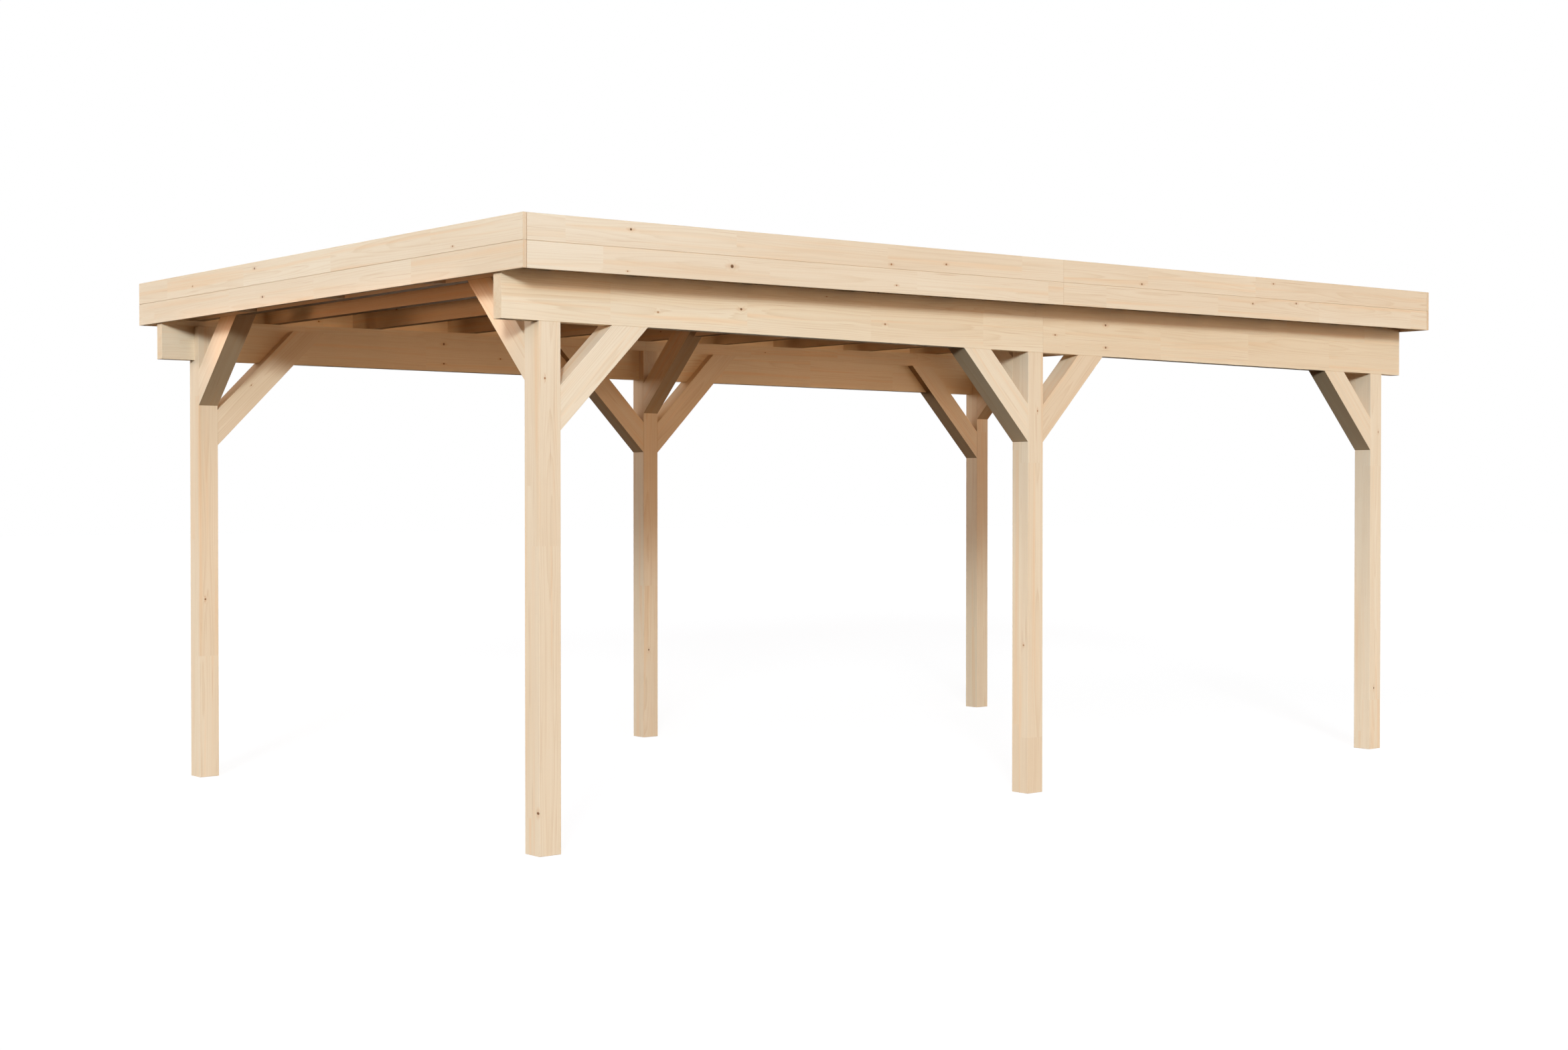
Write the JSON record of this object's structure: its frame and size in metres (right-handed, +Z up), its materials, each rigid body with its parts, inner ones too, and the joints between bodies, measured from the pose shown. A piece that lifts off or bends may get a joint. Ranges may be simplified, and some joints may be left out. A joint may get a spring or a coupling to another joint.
{
  "type": "carport",
  "caption": "Open timber carport with square posts, knee braces, long side beams, cross rafters, a stacked-board fascia and a shallow felted roof that falls along its length.",
  "frame": {"origin": "ground level in the middle of the posts, which is the bottom centre of the overall box", "axes": "+X runs along the carport towards the high end of the roof, +Y runs across it, +Z is up"},
  "size_m": [5.276, 3.113, 2.2468],
  "materials": {
    "post_timber": "planed pale spruce, untreated",
    "beam_timber": "planed pale spruce, untreated",
    "rafter_timber": "planed pale spruce, untreated",
    "brace_timber": "planed pale spruce, untreated",
    "fascia_timber": "planed pale spruce boards, untreated",
    "roof_board_timber": "tongued and grooved spruce boards, untreated",
    "felt": "mineral-faced bitumen felt, charcoal grey"
  },
  "bodies": {
    "root": {"post_front_left": "post_timber", "post_front_middle": "post_timber", "post_front_right": "post_timber", "post_back_left": "post_timber", "post_back_middle": "post_timber", "post_back_right": "post_timber", "beam_front_left": "beam_timber", "beam_front_right": "beam_timber", "beam_back_left": "beam_timber", "beam_back_right": "beam_timber", "tapered_board_front_left": "beam_timber", "tapered_board_front_right": "beam_timber", "tapered_board_back_left": "beam_timber", "tapered_board_back_right": "beam_timber", "rafter_1": "rafter_timber", "rafter_2": "rafter_timber", "rafter_3": "rafter_timber", "rafter_4": "rafter_timber", "rafter_5": "rafter_timber", "rafter_6": "rafter_timber", "rafter_7": "rafter_timber", "rafter_8": "rafter_timber", "rafter_9": "rafter_timber", "rafter_10": "rafter_timber", "rafter_11": "rafter_timber", "knee_braces_front_left": "brace_timber", "knee_braces_front_middle": "brace_timber", "knee_braces_front_right": "brace_timber", "knee_braces_back_left": "brace_timber", "knee_braces_back_middle": "brace_timber", "knee_braces_back_right": "brace_timber", "end_blocks_left": "rafter_timber", "end_blocks_right": "rafter_timber", "fascia_left": "fascia_timber", "fascia_right": "fascia_timber", "fascia_front_left": "fascia_timber", "fascia_front_right": "fascia_timber", "fascia_back_left": "fascia_timber", "fascia_back_right": "fascia_timber", "roof_boards": "roof_board_timber", "roof_felt": "felt"}
  },
  "joints": []
}
